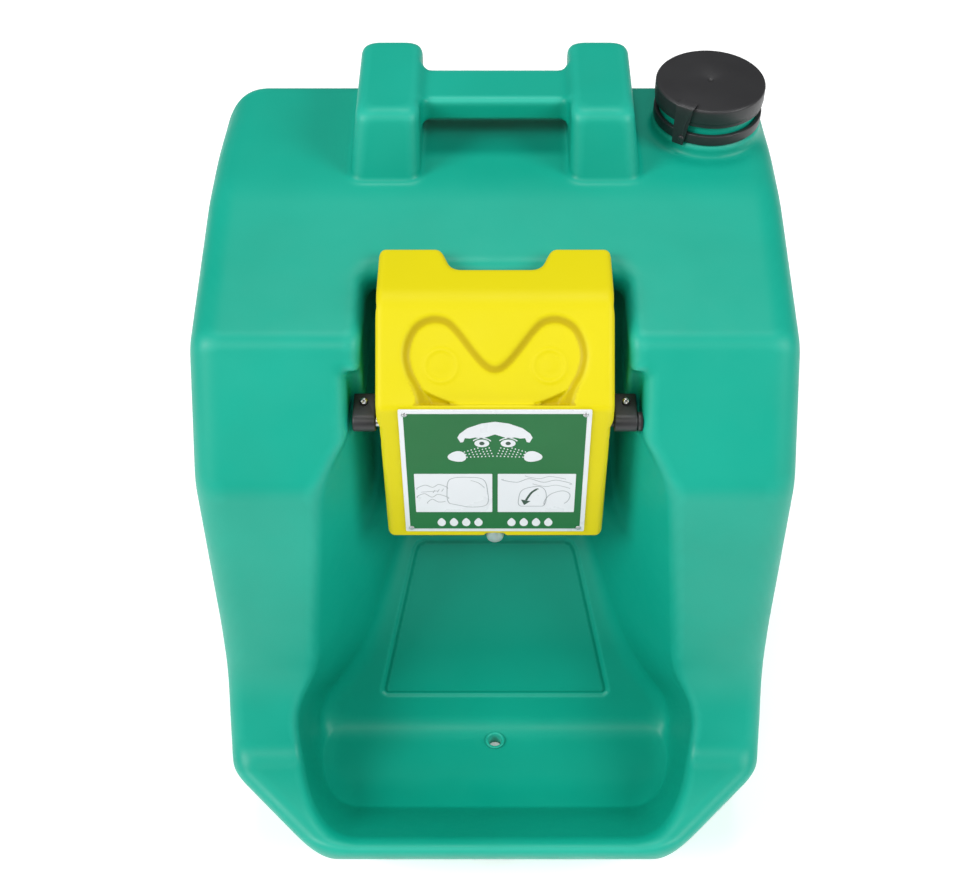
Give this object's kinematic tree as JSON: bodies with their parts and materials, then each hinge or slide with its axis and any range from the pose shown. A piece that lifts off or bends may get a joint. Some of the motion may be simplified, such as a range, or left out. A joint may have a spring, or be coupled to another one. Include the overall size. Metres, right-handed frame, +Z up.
{
  "type": "eyewash station",
  "caption": "Portable gravity-fed eyewash station: moulded tank with handle, screw filler cap and drained basin, and a pull-down activation arm with two spray heads.",
  "frame": {"origin": "centre of the tank's flat underside", "axes": "+Z up, -Y towards the basin (front), X along the arm's pivot axis"},
  "size_m": [0.54, 0.604, 0.648],
  "materials": {
    "green_plastic": "satin rotomoulded polyethylene",
    "yellow_plastic": "satin moulded plastic",
    "black_plastic": "fine-grained black plastic",
    "nylon_white": "natural nylon",
    "grey_plastic": "moulded grey plastic",
    "rubber_black": "matt rubber",
    "silicone_clear": "translucent silicone",
    "hose_clear": "clear flexible hose",
    "steel": "stainless steel",
    "sign_print": "printed rigid plastic plate"
  },
  "bodies": {
    "tank": {"tank_shell": "green_plastic", "drain_grommet": "green_plastic", "pivot_bracket_left": "black_plastic", "pivot_bracket_right": "black_plastic", "pivot_pin_left": "steel", "outlet_trunnion": "black_plastic", "outlet_gasket": "rubber_black", "outlet_nut": "steel", "bracket_screws": "steel"},
    "tether": {"cap_tether_ring": "black_plastic"},
    "cap": {"filler_cap": "black_plastic", "cap_gasket": "rubber_black", "cap_tether_strap": "black_plastic"},
    "arm": {"arm_shell": "yellow_plastic", "arm_deck": "yellow_plastic", "deck_screws": "steel", "spray_head_left": "black_plastic", "spray_head_right": "black_plastic", "flow_disc_left": "nylon_white", "flow_disc_right": "nylon_white", "head_nuts": "grey_plastic", "manifold_pipe": "grey_plastic", "pivot_bush_left": "black_plastic", "valve_sleeve": "black_plastic", "supply_hose": "hose_clear", "hose_clamps": "steel", "sign_plate": "sign_print", "sign_screws": "steel", "stop_bumper": "silicone_clear"}
  },
  "joints": [
    {"name": "arm_pivot", "type": "hinge", "parent": "tank", "child": "arm", "pos_m": [0, -0.072, 0.49], "axis": [1, 0, 0], "range_deg": [0, 100]},
    {"name": "cap_turn", "type": "hinge", "parent": "tank", "child": "tether", "pos_m": [0.2047, 0.2307, 0.6067], "axis": [0, 0, 1], "range_deg": [0, 540]},
    {"name": "cap_lift", "type": "slide", "parent": "tether", "child": "cap", "axis": [0, 0, 1], "range_m": [0, 0.009]}
  ],
  "couplings": [
    {"joint": "cap_lift", "follows": "cap_turn", "m_per_rad": 0.00095493}
  ]
}
